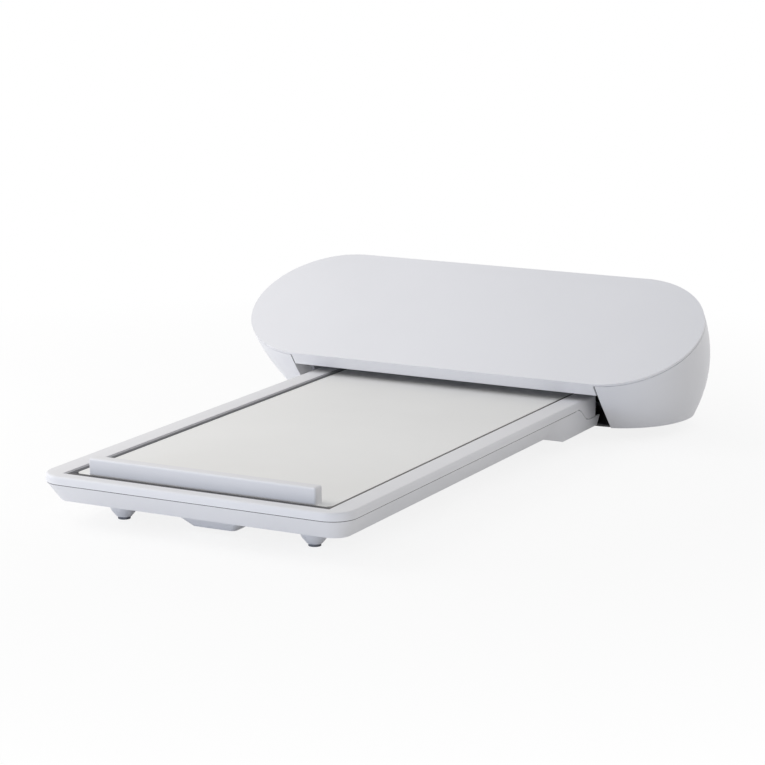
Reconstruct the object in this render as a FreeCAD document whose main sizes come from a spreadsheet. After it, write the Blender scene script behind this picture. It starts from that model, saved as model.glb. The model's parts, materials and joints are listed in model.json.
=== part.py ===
import FreeCAD, Part
import math
import os
import re

import Sketcher

# Flatbed electronic die cutting machine, in millimetres.
# X runs across the bed, Y from the bed's front to the back of the head, Z up.
# The origin is on the table, under the middle of the machine.

Vector = FreeCAD.Vector
Rotation = FreeCAD.Rotation

SIZES = {
    # whole machine
    "depth_overall": 808,
    "shell_wall": 2.5,
    "cover_gap": 0.5,
    "slide_gap": 0.3,
    "shaft_gap": 0.05,
    # bed
    "bed_width": 370,
    "rim_side": 25,
    "rim_front": 14.5,
    "rim_top": 55,
    "rim_round": 3,
    "seam_height": 46,
    "bed_corner": 28,
    "bed_tail": 169.5,
    "tail_corner": 10,
    "belly_height": 24.5,
    "belly_inset": 12,
    "belly_front": 16.5,
    "belly_corner": 18,
    "keel_height": 15,
    "keel_inset": 3.5,
    "keel_start": 300,
    "keel_flat": 265,
    "keel_tail": 164,
    "wave_start": 233.5,
    "wave_end": 193.5,
    "wave_height": 28.3,
    "seam_groove": 0.8,
    "groove_depth": 1,
    "boss_front": 53,
    "boss_bottom": 5.6,
    "boss_width": 53,
    "boss_depth": 28,
    "boss_flare": 18,
    "boss_corner": 6,
    # feet
    "foot_front": 63.5,
    "foot_inset": 69,
    "foot_tip": 8.2,
    "foot_knee": 13.2,
    "foot_knee_height": 9,
    "foot_root": 21,
    "pad_radius": 6.75,
    "pad_height": 3,
    "rear_foot_spread": 190,
    "rear_foot_back": 58.5,
    "rear_foot_radius": 14,
    # head shell, three sections from the lid down to the base
    "lid_length": 600.8,
    "lid_depth": 209.6,
    "lid_tilt": 27.35,
    "lid_back": 138.4,
    "lid_height": 127.6,
    "lid_band": 3.4,
    "lid_gap": 0.8,
    "lip_height": 63.5,
    "mid_back": 100,
    "mid_height": 73.4,
    "mid_straight": 196.7,
    "mid_end": 96.7,
    "mid_front_reach": 108.6,
    "mid_back_reach": 93.8,
    "base_height": 16,
    "base_back": 82.4,
    "base_straight": 183.9,
    "base_end": 85.3,
    "base_front_reach": 97.1,
    "base_back_reach": 82.4,
    "cap_inner": 205,
    "lip_clear": 2,
    "lid_rib": 1.8,
    "lid_rib_height": 4,
    # chassis
    "chassis_thick": 2.5,
    "chassis_end_inset": 12,
    "chassis_back_inset": 2,
    "cap_flange": 8,
    "plate_thick": 2.5,
    "plate_toe": 157.5,
    "plate_front": 179.5,
    "plate_step": 6,
    "plate_brow": 183.5,
    "plate_brow_rise": 27,
    "plate_crest": 58,
    "plate_rise": 50,
    "plate_nape": 26,
    "plate_heel": 14,
    "window_behind": 14,
    "window_pitch": 42,
    "window_width": 30,
    "window_low": 57,
    "window_tall": 14,
    "guide_rib": 3,
    "guide_rib_place": 152,
    # platen and its guides
    "guide_wall": 3.5,
    "guide_ledge": 12,
    "guide_bottom": 41,
    "guide_top": 54.5,
    "guide_ledge_thick": 3,
    "guide_back": 18.5,
    "stop_depth": 8,
    "platen_front": 28.5,
    "platen_back": 93.5,
    "platen_top": 53,
    "platen_plate": 2.5,
    "platen_edge": 3.3,
    "platen_corner": 8,
    "platen_frame": 6.2,
    "frame_skin": 2,
    "frame_border": 8,
    "bar_length": 273,
    "bar_depth": 15,
    "bar_rise": 18,
    "bar_round": 2.5,
    # platen drive
    "tooth_module": 1.5,
    "tooth_backlash": 0.15,
    "rack_place": 105,
    "rack_width": 12,
    "rack_body": 1.8,
    "rack_front": 165,
    "pinion_width": 10,
    "shaft_radius": 4,
    "feed_back": 125.5,
    "bush_radius": 7,
    "bush_flange": 9,
    "bush_flange_thick": 2,
    "belt_width": 6,
    "belt_thick": 1.5,
    "flange_thick": 1.5,
    "flange_rise": 2,
    "feed_pulley_radius": 11,
    "feed_motor_radius": 7,
    "feed_motor_back": 51.5,
    "feed_motor_height": 36,
    "feed_belt_place": 191,
    "motor_side": 35,
    "motor_corner": 4,
    "motor_length": 20,
    "motor_shaft": 2.5,
    "bracket_thick": 2,
    "bracket_foot": 8,
    "bracket_flange": 12,
    # carriage
    "rail_back": 88.5,
    "rail_height": 100,
    "rail_deep": 24,
    "rail_tall": 30,
    "rail_wall": 3,
    "belt_back": 64.5,
    "belt_place": 180,
    "pulley_radius": 8,
    "carriage_width": 84,
    "carriage_wall": 4,
    "carriage_front": 9,
    "carriage_drop": 11,
    "tongue_width": 10,
    "tongue_depth": 6,
    "tool_place": 21,
    "holder_width": 34,
    "holder_depth": 24,
    "holder_bottom": 76,
    "holder_top": 104,
    "cartridge_radius": 9,
    "cartridge_cap": 10.5,
    "cartridge_nose": 3,
    "cartridge_top": 110,
    "cartridge_neck": 67,
    "cartridge_tip": 63,
    "holder_slit": 2,
    "clamp_width": 18,
    "clamp_jaw": 3,
    # lid hinge
    "hinge_behind": 5.3,
    "hinge_below": 6.4,
    "hinge_place": 150,
    "knuckle_width": 16,
    "knuckle_radius": 4,
    "hinge_pin": 1.7,
    # rear ports and electronics
    "slot_half_width": 164,
    "slot_bottom": 39.3,
    "slot_top": 62,
    "panel_left": 34,
    "panel_right": 146,
    "panel_back": 5.5,
    "panel_thick": 2.5,
    "panel_top": 37.5,
    "port_height": 27,
    "port_frame": 2.7,
    "jack_place": 90,
    "jack_bore": 3.2,
    "jack_body": 6,
    "port_depth": 12,
    "data_place": 62,
    "data_width": 8.6,
    "data_tall": 7.8,
    "data_wall": 1.2,
    "button_place": 122,
    "button_radius": 6,
    "button_rise": 3,
    "button_flange": 7.5,
    "board_left": 140,
    "board_right": 10,
    "board_front": 108,
    "board_rear": 20,
    "board_height": 21,
    "board_thick": 1.6,
    "chip_height": 1.5,
    "heat_sink_height": 8,
    "connector_height": 7,
    "post_inset": 6,
    "post_radius": 3,
}

FRAME_ROWS = 6
HEAD_BANDS = 10
WAVE_STEPS = 8
TOOTH_COUNT = 14
PRESSURE_ANGLE = math.radians(20)
STUB_ADDENDUM = 0.75
DEDENDUM = 1.0
FLANK_STEPS = 3
SIDES = (("left", -1), ("right", 1))
ALIAS = re.compile(r"[a-z]+(?:_[a-z]+)+")

doc = FreeCAD.newDocument("flatbed_die_cutter")
sheet = doc.addObject("Spreadsheet::Sheet", "Sizes")
for row, (alias, value) in enumerate(SIZES.items(), 1):
    sheet.set(f"A{row}", alias)
    sheet.set(f"B{row}", str(value))
    sheet.setAlias(f"B{row}", alias)
doc.recompute()

subparts = []


def size(alias):
    """The sheet's value under that alias."""
    return float(sheet.get(alias))


def bind(item, prop, text):
    """Ties a property to an expression of the sheet's aliases."""
    item.setExpression(prop, ALIAS.sub(lambda found: "Sizes." + found.group(0), text))


def from_front(distance):
    return f"-depth_overall / 2 + ({distance})"


def from_back(distance):
    return f"depth_overall / 2 - ({distance})"


def back_y(alias):
    """The Y of something that the sheet measures forward from the machine's back."""
    return size("depth_overall") / 2 - size(alias)


def front_y(alias):
    """The Y of something that the sheet measures back from the bed's front edge."""
    return size(alias) - size("depth_overall") / 2


def mirrored(side, low, high):
    """A span in X, put on the left or the right side."""
    if side > 0:
        return low, high
    return f"-({high})", f"-({low})"


# Building blocks


def block(name, x, y, z):
    """A box between a low and a high expression on each axis."""
    item = doc.addObject("Part::Box", name)
    for prop, axis, span in (("Length", "x", x), ("Width", "y", y), ("Height", "z", z)):
        bind(item, prop, f"({span[1]}) - ({span[0]})")
        bind(item, f"Placement.Base.{axis}", span[0])
    return item


TURNS = {
    "x": Rotation(Vector(0, 1, 0), 90),
    "y": Rotation(Vector(1, 0, 0), -90),
    "z": Rotation(),
}


def rod(name, axis, centre, span, radius):
    """A cylinder along an axis; centre holds the other two coordinates, in X, Y, Z order."""
    item = doc.addObject("Part::Cylinder", name)
    item.Placement = FreeCAD.Placement(Vector(), TURNS[axis])
    bind(item, "Radius", radius)
    bind(item, "Height", f"({span[1]}) - ({span[0]})")
    others = [letter for letter in "xyz" if letter != axis]
    bind(item, f"Placement.Base.{axis}", span[0])
    for letter, value in zip(others, centre):
        bind(item, f"Placement.Base.{letter}", value)
    return item


def join(name, items):
    item = doc.addObject("Part::MultiFuse", name)
    item.Shapes = items
    return item


def carve(name, base, tools):
    item = doc.addObject("Part::Cut", name)
    item.Base = base
    item.Tool = tools[0] if len(tools) == 1 else join(name + "_tools", tools)
    return item


def overlap(name, items):
    item = doc.addObject("Part::MultiCommon", name)
    item.Shapes = items
    return item


def group(name, items):
    item = doc.addObject("Part::Compound", name)
    item.Links = items
    return item


def shaped(name, shape):
    item = doc.addObject("Part::Feature", name)
    item.Shape = shape
    return item


def node(name, item):
    """Hands a finished object in as the sub-part of that name."""
    item.Label = name
    subparts.append(item)
    return item


def plane_of(body, role):
    return [feature for feature in body.Origin.OriginFeatures if feature.Role == role][0]


def outline_sketch(body, role, points, offset):
    """A closed outline of straight lines whose corners are expressions, on one of the body's planes."""
    sketch = body.newObject("Sketcher::SketchObject", body.Name + "_outline")
    sketch.AttachmentSupport = [(plane_of(body, role), "")]
    sketch.MapMode = "FlatFace"
    bind(sketch, "AttachmentOffset.Base.z", offset)
    count = len(points)
    turns = [2 * math.pi * index / count for index in range(count)]
    ring = [Vector(math.cos(turn), math.sin(turn), 0) for turn in turns]
    for index in range(count):
        sketch.addGeometry(Part.LineSegment(ring[index], ring[(index + 1) % count]))
    for index in range(count):
        sketch.addConstraint(Sketcher.Constraint("Coincident", index, 2, (index + 1) % count, 1))
    for index, corner in enumerate(points):
        for kind, text, start in zip(("DistanceX", "DistanceY"), corner, ring[index]):
            place = sketch.addConstraint(Sketcher.Constraint(kind, index, 1, start))
            bind(sketch, f"Constraints[{place}]", text)
    return sketch


def pad(body, role, points, offset, length):
    feature = body.newObject("PartDesign::Pad", body.Name + "_pad")
    feature.Profile = outline_sketch(body, role, points, offset)
    bind(feature, "Length", length)
    return feature


def pocket(body, role, points, offset, length, reverse):
    feature = body.newObject("PartDesign::Pocket", body.Name + "_pocket")
    feature.Profile = outline_sketch(body, role, points, offset)
    bind(feature, "Length", length)
    feature.Reversed = reverse
    return feature


def turned(name, points):
    """A body turned about its own Z axis from a half outline in X and Z."""
    body = doc.addObject("PartDesign::Body", name)
    feature = body.newObject("PartDesign::Revolution", name + "_turn")
    feature.Profile = outline_sketch(body, "XZ_Plane", points, "0")
    feature.ReferenceAxis = (feature.Profile[0], ["V_Axis"])
    feature.Angle = 360
    return body


def rounded(body, feature, radius, wanted):
    """Fillets the edges that the wanted function picks."""
    doc.recompute()
    names = [f"Edge{index}" for index, edge in enumerate(feature.Shape.Edges, 1) if wanted(edge)]
    fillet = body.newObject("PartDesign::Fillet", body.Name + "_round")
    fillet.Base = (feature, names)
    bind(fillet, "Radius", radius)
    return fillet


def close(first, second):
    return abs(first - second) < 0.01


def is_upright(edge):
    start, end = (vertex.Point for vertex in edge.Vertexes[:2])
    return close(start.x, end.x) and close(start.y, end.y)


def rectangle(x, y):
    return [(x[0], y[0]), (x[1], y[0]), (x[1], y[1]), (x[0], y[1])]


# Bed


def bed_top_cover():
    """The rim: a hollow U-shaped frame, with side walls that drop where it meets the head."""
    inner = "bed_width / 2 - rim_side"
    front, gap, rear = from_front("0"), from_front("rim_front"), from_back("bed_tail")
    body = doc.addObject("PartDesign::Body", "rim")
    frame = pad(body, "XY_Plane", [
        ("-bed_width / 2", rear), ("-bed_width / 2", front), ("bed_width / 2", front),
        ("bed_width / 2", rear), (inner, rear), (inner, gap), (f"-({inner})", gap), (f"-({inner})", rear),
    ], "seam_height", "rim_top - seam_height")
    half, front_edge = size("bed_width") / 2, -size("depth_overall") / 2

    def at_corner(edge, y):
        point = edge.Vertexes[0].Point
        return is_upright(edge) and close(abs(point.x), half) and close(point.y, y)

    bend = rounded(body, frame, "bed_corner", lambda edge: at_corner(edge, front_edge))
    tail = rounded(body, bend, "tail_corner", lambda edge: at_corner(edge, back_y("bed_tail")))
    inner_half, gap_line = half - size("rim_side"), front_y("rim_front")

    def on_top_outside(edge):
        box, middle = edge.BoundBox, edge.CenterOfMass
        level = close(box.ZMin, size("rim_top")) and close(box.ZMax, size("rim_top"))
        outside = abs(middle.x) > inner_half + 1 or middle.y < gap_line - 1
        return level and outside and not close(middle.y, back_y("bed_tail"))

    rounded(body, tail, "rim_round", on_top_outside)
    outside, inside, end = "bed_width / 2 - shell_wall", f"{inner} + shell_wall", f"{rear} - tail_corner"
    right = [
        (inside, f"{gap} - shell_wall"), (inside, end), (outside, end),
        (outside, f"{front} + bed_corner"), ("bed_width / 2 - bed_corner", f"{front} + shell_wall"),
    ]
    left = [(f"-({x})", y) for x, y in reversed(right)]
    deep = "rim_top - seam_height - rim_round - cover_gap"
    pocket(body, "XY_Plane", right + left, "seam_height", deep, True)
    skirt = carve("tail_skirt", tail_ring(), [shaped("below_skirt", below_wave(size("seam_groove")))])
    node("bed_top_cover", join("rim_and_skirt", [body, skirt]))


def bed_wire(side_inset, front_inset, front_corner, rear, height):
    """The bed's plan outline at one height, with round front corners and a square tail."""
    half = size("bed_width") / 2 - side_inset
    front = -size("depth_overall") / 2 + front_inset
    diagonal = front_corner * (1 - math.sqrt(0.5))

    def corner(side):
        return Part.Arc(
            Vector(side * half, front + front_corner, height),
            Vector(side * (half - diagonal), front + diagonal, height),
            Vector(side * (half - front_corner), front, height),
        ).toShape()

    left_rear, right_rear = Vector(-half, rear, height), Vector(half, rear, height)
    left, right = corner(-1), corner(1)
    return Part.Wire(Part.__sortEdges__([
        Part.makeLine(left_rear, left.Vertexes[0].Point), left,
        Part.makeLine(left.Vertexes[-1].Point, right.Vertexes[-1].Point), right,
        Part.makeLine(right.Vertexes[0].Point, right_rear), Part.makeLine(right_rear, left_rear),
    ]))


def tail_ring():
    """The bed's side walls below the rim, as far down as the wave reaches, rounded in at the tail."""
    wall, half = "shell_wall", "bed_width / 2"
    rear = from_back("bed_tail")
    outer = tail_prism("tail_outer", half, rear, "tail_corner")
    inner = tail_prism("tail_inner", f"{half} - {wall}", f"{rear} - {wall}", f"tail_corner - {wall}")
    path = block("tail_open", (f"-({half}) + rim_side", f"{half} - rim_side"),
                 (from_back("wave_start + 1"), from_back("0")), ("0", "rim_top"))
    return carve("tail_ring", outer, [inner, path])


def tail_prism(name, half, rear, corner):
    body = doc.addObject("PartDesign::Body", name)
    solid = pad(body, "XY_Plane", rectangle((f"-({half})", half), (from_back("wave_start"), rear)),
                "wave_height", "seam_height - wave_height")
    middle = back_y("wave_start") + 1
    rounded(body, solid, corner, lambda edge: is_upright(edge) and edge.CenterOfMass.y > middle)
    return body


def wave_height_at(share):
    """The height of the S-shaped seam at a share of its run: two equal arcs, crest to trough."""
    run, drop = size("wave_start") - size("wave_end"), size("seam_height") - size("wave_height")
    radius = (run**2 + drop**2) / (4 * drop)
    if share <= 0.5:
        return size("seam_height") - radius + math.sqrt(radius**2 - (share * run) ** 2)
    return size("wave_height") + radius - math.sqrt(radius**2 - ((1 - share) * run) ** 2)


def wave_loft(outline):
    """A solid along the bed's tail, ruled between sections whose outline follows the keel and the seam."""
    start, end = back_y("wave_start"), back_y("wave_end")
    belly, keel, seam = size("belly_height"), size("keel_height"), size("seam_height")
    places = [(back_y("keel_start"), belly, size("belly_inset"), seam)]
    places.append((back_y("keel_flat"), keel, size("keel_inset"), seam))
    for step in range(WAVE_STEPS + 1):
        share = step / WAVE_STEPS
        places.append((start + (end - start) * share, keel, size("keel_inset"), wave_height_at(share)))
    places.append((back_y("keel_tail"), keel, size("keel_inset"), size("wave_height")))
    sections = []
    for y, bottom, lean, wave in places:
        points = [Vector(x, y, z) for x, z in outline(bottom, lean, wave)]
        sections.append(Part.makePolygon(points + points[:1]))
    return Part.makeLoft(sections, True, True)


def below_wave(lift):
    """Everything below the wave, raised a little."""
    half = size("bed_width")

    def outline(bottom, lean, wave):
        return [(-half, 0), (half, 0), (half, wave + lift), (-half, wave + lift)]

    return wave_loft(outline)


def tail_volume(inset):
    """The bottom cover's tail: a keel that comes out to the bed's sides. Inset, it is open above."""
    half = size("bed_width") / 2 - inset

    def outline(bottom, lean, wave):
        sides = [(-half, wave), (-half + lean, bottom + inset), (half - lean, bottom + inset), (half, wave)]
        if inset:
            sides += [(half, size("rim_top")), (-half, size("rim_top"))]
        return sides

    return wave_loft(outline)


def tub(name, inset):
    """The bottom cover's outer or inner volume in front of the keel: walls that lean in to the belly."""
    rear = back_y("keel_start")
    bottom = size("belly_height") + inset
    share = (size("seam_height") - bottom) / (size("seam_height") - size("belly_height"))
    corner = size("bed_corner") + (size("belly_corner") - size("bed_corner")) * share
    walls = doc.addObject("Part::Loft", name)
    walls.Sections = [
        shaped(name + "_seam", bed_wire(inset, inset, size("bed_corner") - inset, rear, size("seam_height"))),
        shaped(name + "_floor", bed_wire(inset + size("belly_inset") * share, inset + size("belly_front") * share,
                                         corner - inset, rear, bottom)),
    ]
    walls.Solid = True
    walls.Ruled = True
    return walls


def rounded_rectangle(width, depth, corner, y, z):
    """A closed wire with round corners, centred on X, at the given Y and Z."""
    face = Part.makePlane(width, depth, Vector(-width / 2, y - depth / 2, z))
    prism = face.extrude(Vector(0, 0, 1))
    prism = prism.makeFillet(corner, [edge for edge in prism.Edges if is_upright(edge)])
    lowest = [side for side in prism.Faces if close(side.BoundBox.ZMax, z)][0]
    return lowest.OuterWire


def boss(name, inset):
    """The tapered boss under the middle of the bed's front."""
    y = front_y("boss_front") + size("boss_depth") / 2
    top, bottom = size("belly_height"), size("boss_bottom")
    width, depth = size("boss_width") - 2 * inset, size("boss_depth") - 2 * inset
    flare, corner = 2 * size("boss_flare"), size("boss_corner")
    loft = Part.makeLoft([
        rounded_rectangle(width, depth, corner, y, bottom + inset),
        rounded_rectangle(width + flare, depth + flare, corner, y, top + inset),
    ], True, True)
    return shaped(name, loft)


def seam_groove():
    """The ring cut round the bottom cover's top edge, which shows as the parting line under the rim."""
    deep, tall, corner = size("groove_depth"), size("seam_groove"), size("bed_corner")
    level, up = size("seam_height") - tall, Vector(0, 0, 2 * tall)
    rear = back_y("wave_start")
    outside = Part.Face(bed_wire(-deep, -deep, corner + deep, rear, level)).extrude(up)
    inside = Part.Face(bed_wire(deep, deep, corner - deep, rear, level)).extrude(up)
    return shaped("seam_groove_ring", outside.cut(inside))


def bed_bottom_cover():
    """The tub under the rim with its tail, ribs for the platen guides and a boss at its front."""
    wall = size("shell_wall")
    outer = join("bottom_outer", [tub("tub_outer", 0), shaped("tail_outside", tail_volume(0))])
    inner = join("bottom_inner", [tub("tub_inner", wall), shaped("tail_inside", tail_volume(wall))])
    shell = join("bottom_with_boss", [carve("bottom_shell", outer, [inner]), boss("boss_outer", 0)])
    hollow = carve("bottom_hollow", shell, [boss("boss_inner", wall)])
    ribs = []
    for name, side in SIDES:
        span = mirrored(side, "guide_rib_place - guide_rib / 2", "guide_rib_place + guide_rib / 2")
        along = (from_front("rim_front"), from_back("keel_tail"))
        slab = block(f"{name}_bed_slab", span, along, ("0", "guide_bottom"))
        ribs.append(overlap(f"{name}_bed_rib", [outer, slab]))
        ribs.append(block(f"{name}_tail_rib", span, (from_back("wave_start"), from_back("keel_tail")),
                          ("wave_height", "guide_bottom")))
    node("bed_bottom_cover", carve("bottom_grooved", join("bottom_ribbed", [hollow] + ribs), [seam_groove()]))


def feet():
    """Front feet on the bed with rubber pads, and rubber feet under the head."""
    for name, side in SIDES:
        foot = turned(f"{name}_foot_turn", [
            ("0", "pad_height"), ("foot_tip", "pad_height"), ("foot_knee", "foot_knee_height"),
            ("foot_root", "belly_height"), ("0", "belly_height"),
        ])
        bind(foot, "Placement.Base.x", f"{side} * (bed_width / 2 - foot_inset)")
        bind(foot, "Placement.Base.y", from_front("foot_front"))
        node(f"{name}_front_foot", foot)
    pads = [
        rod(f"{name}_pad", "z", (f"{side} * (bed_width / 2 - foot_inset)", from_front("foot_front")),
            ("0", "pad_height"), "pad_radius")
        for name, side in SIDES
    ]
    node("front_foot_pads", group("front_pads", pads))
    rear = [
        rod(f"{name}_rear_pad", "z", (f"{side} * rear_foot_spread", from_back("rear_foot_back")),
            ("0", "base_height - chassis_thick"), "rear_foot_radius")
        for name, side in SIDES
    ]
    node("rear_feet", group("rear_pads", rear))


# Head shell


def section_wire(y, z, tilt, straight, end, front, back):
    """One closed section of the head: straight front and back, quarter-ellipse ends, tilted about X."""
    corner_weight = math.sqrt(0.5)

    def quarter(start, corner, finish):
        curve = Part.BezierCurve()
        curve.setPoles([Vector(*start), Vector(*corner), Vector(*finish)])
        curve.setWeight(2, corner_weight)
        return curve.toShape()

    reach = straight + end
    flat = [
        Part.makeLine(Vector(-straight, -front, 0), Vector(straight, -front, 0)),
        quarter((straight, -front, 0), (reach, -front, 0), (reach, 0, 0)),
        quarter((reach, 0, 0), (reach, back, 0), (straight, back, 0)),
        Part.makeLine(Vector(straight, back, 0), Vector(-straight, back, 0)),
        quarter((-straight, back, 0), (-reach, back, 0), (-reach, 0, 0)),
        quarter((-reach, 0, 0), (-reach, -front, 0), (-straight, -front, 0)),
    ]
    wire = Part.Wire(flat)
    wire.Placement = FreeCAD.Placement(Vector(0, y, z), Rotation(Vector(1, 0, 0), tilt))
    return wire


def head_section(share, inset):
    """The head's section at a share of the way from the lid down to the base, inset by a wall."""
    half_depth = size("lid_depth") / 2
    lid = (back_y("lid_back"), size("lid_height"), size("lid_tilt"), size("lid_length") / 2 - half_depth,
           half_depth, half_depth, half_depth)
    middle = (back_y("mid_back"), size("mid_height"), size("lid_tilt") / 2, size("mid_straight"),
              size("mid_end"), size("mid_front_reach"), size("mid_back_reach"))
    base = (back_y("base_back"), size("base_height"), 0, size("base_straight"),
            size("base_end"), size("base_front_reach"), size("base_back_reach"))
    weights = (2 * (share - 0.5) * (share - 1), 4 * share * (1 - share), 2 * share * (share - 0.5))
    y, z, tilt, straight, end, front, back = [
        sum(weight * value for weight, value in zip(weights, values)) for values in zip(lid, middle, base)
    ]
    return section_wire(y, z, tilt, straight, end - inset, front - inset, back - inset)


def head_volume(name, inset):
    """The head's outer volume, or its hollow when inset by the wall, as bands between its sections."""
    volume = doc.addObject("Part::Loft", name)
    sections = [head_section(band / HEAD_BANDS, inset) for band in range(HEAD_BANDS + 1)]
    volume.Sections = [shaped(f"{name}_{band}", section) for band, section in enumerate(sections)]
    volume.Solid = True
    volume.Ruled = True
    return volume


def lid_slab(name, low, high):
    """A thick plane parallel to the lid, between two depths measured down from the lid's top."""
    across, along = 2 * size("lid_length"), 4 * size("lid_depth")
    slab = Part.makeBox(across, along, high - low, Vector(-across / 2, -along / 2, -high))
    tilt = Rotation(Vector(1, 0, 0), size("lid_tilt"))
    middle = FreeCAD.Placement(Vector(0, back_y("lid_back"), size("lid_height")), tilt)
    slab.Placement = middle.multiply(slab.Placement)
    return shaped(name, slab)


WIDE = "bed_width * 2"
TALL = "lid_height * 2"


def lid_panel(outer, hollow):
    """The sloping lid: its top plate, the lip over the bed, stiffening ribs and hinge knuckles."""
    band = size("lid_band")
    plate = overlap("lid_plate", [outer, lid_slab("lid_top", 0, band)])
    front_part = (from_back("lid_back + lid_depth"), from_back("lid_back + lid_depth / 4"))
    between_caps = ("-cap_inner + lip_clear", "cap_inner - lip_clear")
    lip_zone = block("lip_zone", between_caps, front_part, ("lip_height", TALL))
    below = lid_slab("below_lid", band / 2, size("lid_depth"))
    skin = carve("head_skin", outer, [hollow])
    lip = overlap("lid_lip", [skin, lip_zone, below])
    rib_zone = lid_slab("rib_zone", band / 2, band + size("lid_rib_height"))
    rib_grid = []
    straight = "cap_inner - lip_clear - 3 * shell_wall"
    for index, part in enumerate((-1, 0, 1)):
        place = from_back(f"lid_back + {part} * lid_depth / 4")
        rib_grid.append(block(f"lid_long_rib{index}", (f"-({straight})", straight),
                              (place, f"{place} + lid_rib"), ("0", TALL)))
    across = (from_back("lid_back + lid_depth / 3"), from_back("lid_back - lid_depth / 3"))
    for index, part in enumerate((-2, -1, 0, 1, 2)):
        place = f"{part} * ({straight}) / 2.5"
        rib_grid.append(block(f"lid_cross_rib{index}", (place, f"{place} + lid_rib"), across, ("0", TALL)))
    ribs = overlap("lid_ribs", [join("lid_rib_grid", rib_grid), rib_zone])
    knuckles = [hinge_knuckle(f"{name}_lid_knuckle", side) for name, side in SIDES]
    whole = join("lid_whole", [plate, lip, ribs] + knuckles)
    bores = [hinge_bore(f"{name}_lid_bore", side) for name, side in SIDES]
    node("lid_panel", carve("lid_bored", whole, bores))
    return skin


HINGE_Y = "depth_overall / 2 - lid_back + lid_depth / 2 * cos(lid_tilt * 1 deg) + hinge_behind"
HINGE_Z = "lid_height + lid_depth / 2 * sin(lid_tilt * 1 deg) - hinge_below"


def hinge_line():
    return HINGE_Y, HINGE_Z


def hinge_bore(name, side):
    reach = "knuckle_width * 2"
    span = mirrored(side, f"hinge_place - {reach}", f"hinge_place + {reach}")
    return rod(name, "x", hinge_line(), span, "hinge_pin + shaft_gap")


def hinge_knuckle(name, side):
    """The lid's barrel on the hinge line, with the web that carries it."""
    span = mirrored(side, "hinge_place - knuckle_width / 2", "hinge_place + knuckle_width / 2")
    barrel = rod(name + "_barrel", "x", hinge_line(), span, "knuckle_radius")
    along = (f"{HINGE_Y} - hinge_behind - lid_band", f"{HINGE_Y} + knuckle_radius / 4")
    web = block(name + "_web", span, along, (HINGE_Z, f"{HINGE_Z} + hinge_below - lid_band * 0.6"))
    return join(name, [barrel, web])


def end_covers(outer, hollow):
    """The rounded ends of the head, which stand on the chassis by a flange and are open only inside it."""
    seam = size("lid_band") + size("lid_gap")
    below_lid = lid_slab("below_seam", seam, 2 * size("lid_depth"))
    below_deck = lid_slab("below_deck", seam + size("shell_wall"), 2 * size("lid_depth"))
    floor = "base_height + shell_wall"
    well = chassis_outline(size("cap_flange"), 0).extrude(Vector(0, 0, size("lid_height")))
    for name, side in SIDES:
        along = (from_front("0"), from_back("-lid_depth"))
        inside = mirrored(side, "cap_inner + shell_wall", WIDE)
        zone = block(f"{name}_end_zone", mirrored(side, "cap_inner", WIDE), along, ("0", TALL))
        core_zone = block(f"{name}_core_zone", inside, along, (floor, TALL))
        well_zone = block(f"{name}_well_zone", inside, along, ("0", floor))
        solid = overlap(f"{name}_end_solid", [outer, zone, below_lid])
        core = overlap(f"{name}_end_core", [hollow, core_zone, below_deck])
        foot_hole = overlap(f"{name}_end_well", [shaped(f"{name}_end_hole", well), well_zone])
        node(f"{name}_end_cover", carve(f"{name}_end_shell", solid, [core, foot_hole]))


def rear_cover(skin):
    """The head's back wall, with the slot that the platen leaves by, the port window and hinge knuckles."""
    seam = lid_slab("below_rear_seam", size("lid_band") + size("lid_gap"), 2 * size("lid_depth"))
    zone = block("rear_zone", ("-cap_inner + cover_gap", "cap_inner - cover_gap"),
                 (from_back("lid_back"), from_back("-lid_depth")), ("0", TALL))
    wall = overlap("rear_wall", [skin, zone, seam])
    barrels = []
    notches = []
    for name, side in SIDES:
        inner_end = "hinge_place - knuckle_width / 2 - slide_gap"
        outer_end = "hinge_place + knuckle_width / 2 + slide_gap"
        spans = {"inner": (f"{inner_end} - knuckle_width * 0.7", inner_end),
                 "outer": (outer_end, f"{outer_end} + knuckle_width * 0.7")}
        for label, span in spans.items():
            across = mirrored(side, *span)
            barrels.append(rod(f"{name}_{label}_knuckle", "x", hinge_line(), across, "knuckle_radius"))
        notches.append(block(f"{name}_knuckle_notch", mirrored(side, inner_end, outer_end),
                             (f"{HINGE_Y} - 3 * knuckle_radius", from_back("0")),
                             (f"{HINGE_Z} - knuckle_radius - cover_gap", TALL)))
    slot = block("platen_slot", ("-slot_half_width", "slot_half_width"),
                 (from_back("lid_back"), from_back("-lid_depth")), ("slot_bottom", "slot_top"))
    behind_panel = (from_back("panel_back"), from_back("-lid_depth"))
    window = block("port_window", ("panel_left", "panel_right"), behind_panel,
                   ("base_height + port_frame", "slot_bottom - port_frame"))
    bores = [hinge_bore(f"{name}_cover_bore", side) for name, side in SIDES]
    whole = join("rear_with_knuckles", [carve("rear_open", wall, notches + [slot, window])] + barrels)
    node("rear_cover", carve("rear_bored", whole, bores))


def hinge_pins():
    reach = "knuckle_width * 1.2"
    pins = []
    for name, side in SIDES:
        span = mirrored(side, f"hinge_place - {reach}", f"hinge_place + {reach}")
        pins.append(rod(f"{name}_pin", "x", hinge_line(), span, "hinge_pin"))
    node("hinge_pins", group("pins", pins))


# Chassis


def chassis_outline(inset, height):
    """The chassis floor's outline as a face at a height: it stops at the bed's tail and inside the covers."""
    return Part.Face(section_wire(
        back_y("base_back"), height, 0, size("base_straight"),
        size("base_end") - size("chassis_end_inset") - inset,
        size("keel_tail") - size("base_back") - inset,
        size("base_back_reach") - size("chassis_back_inset") - inset,
    ))


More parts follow.
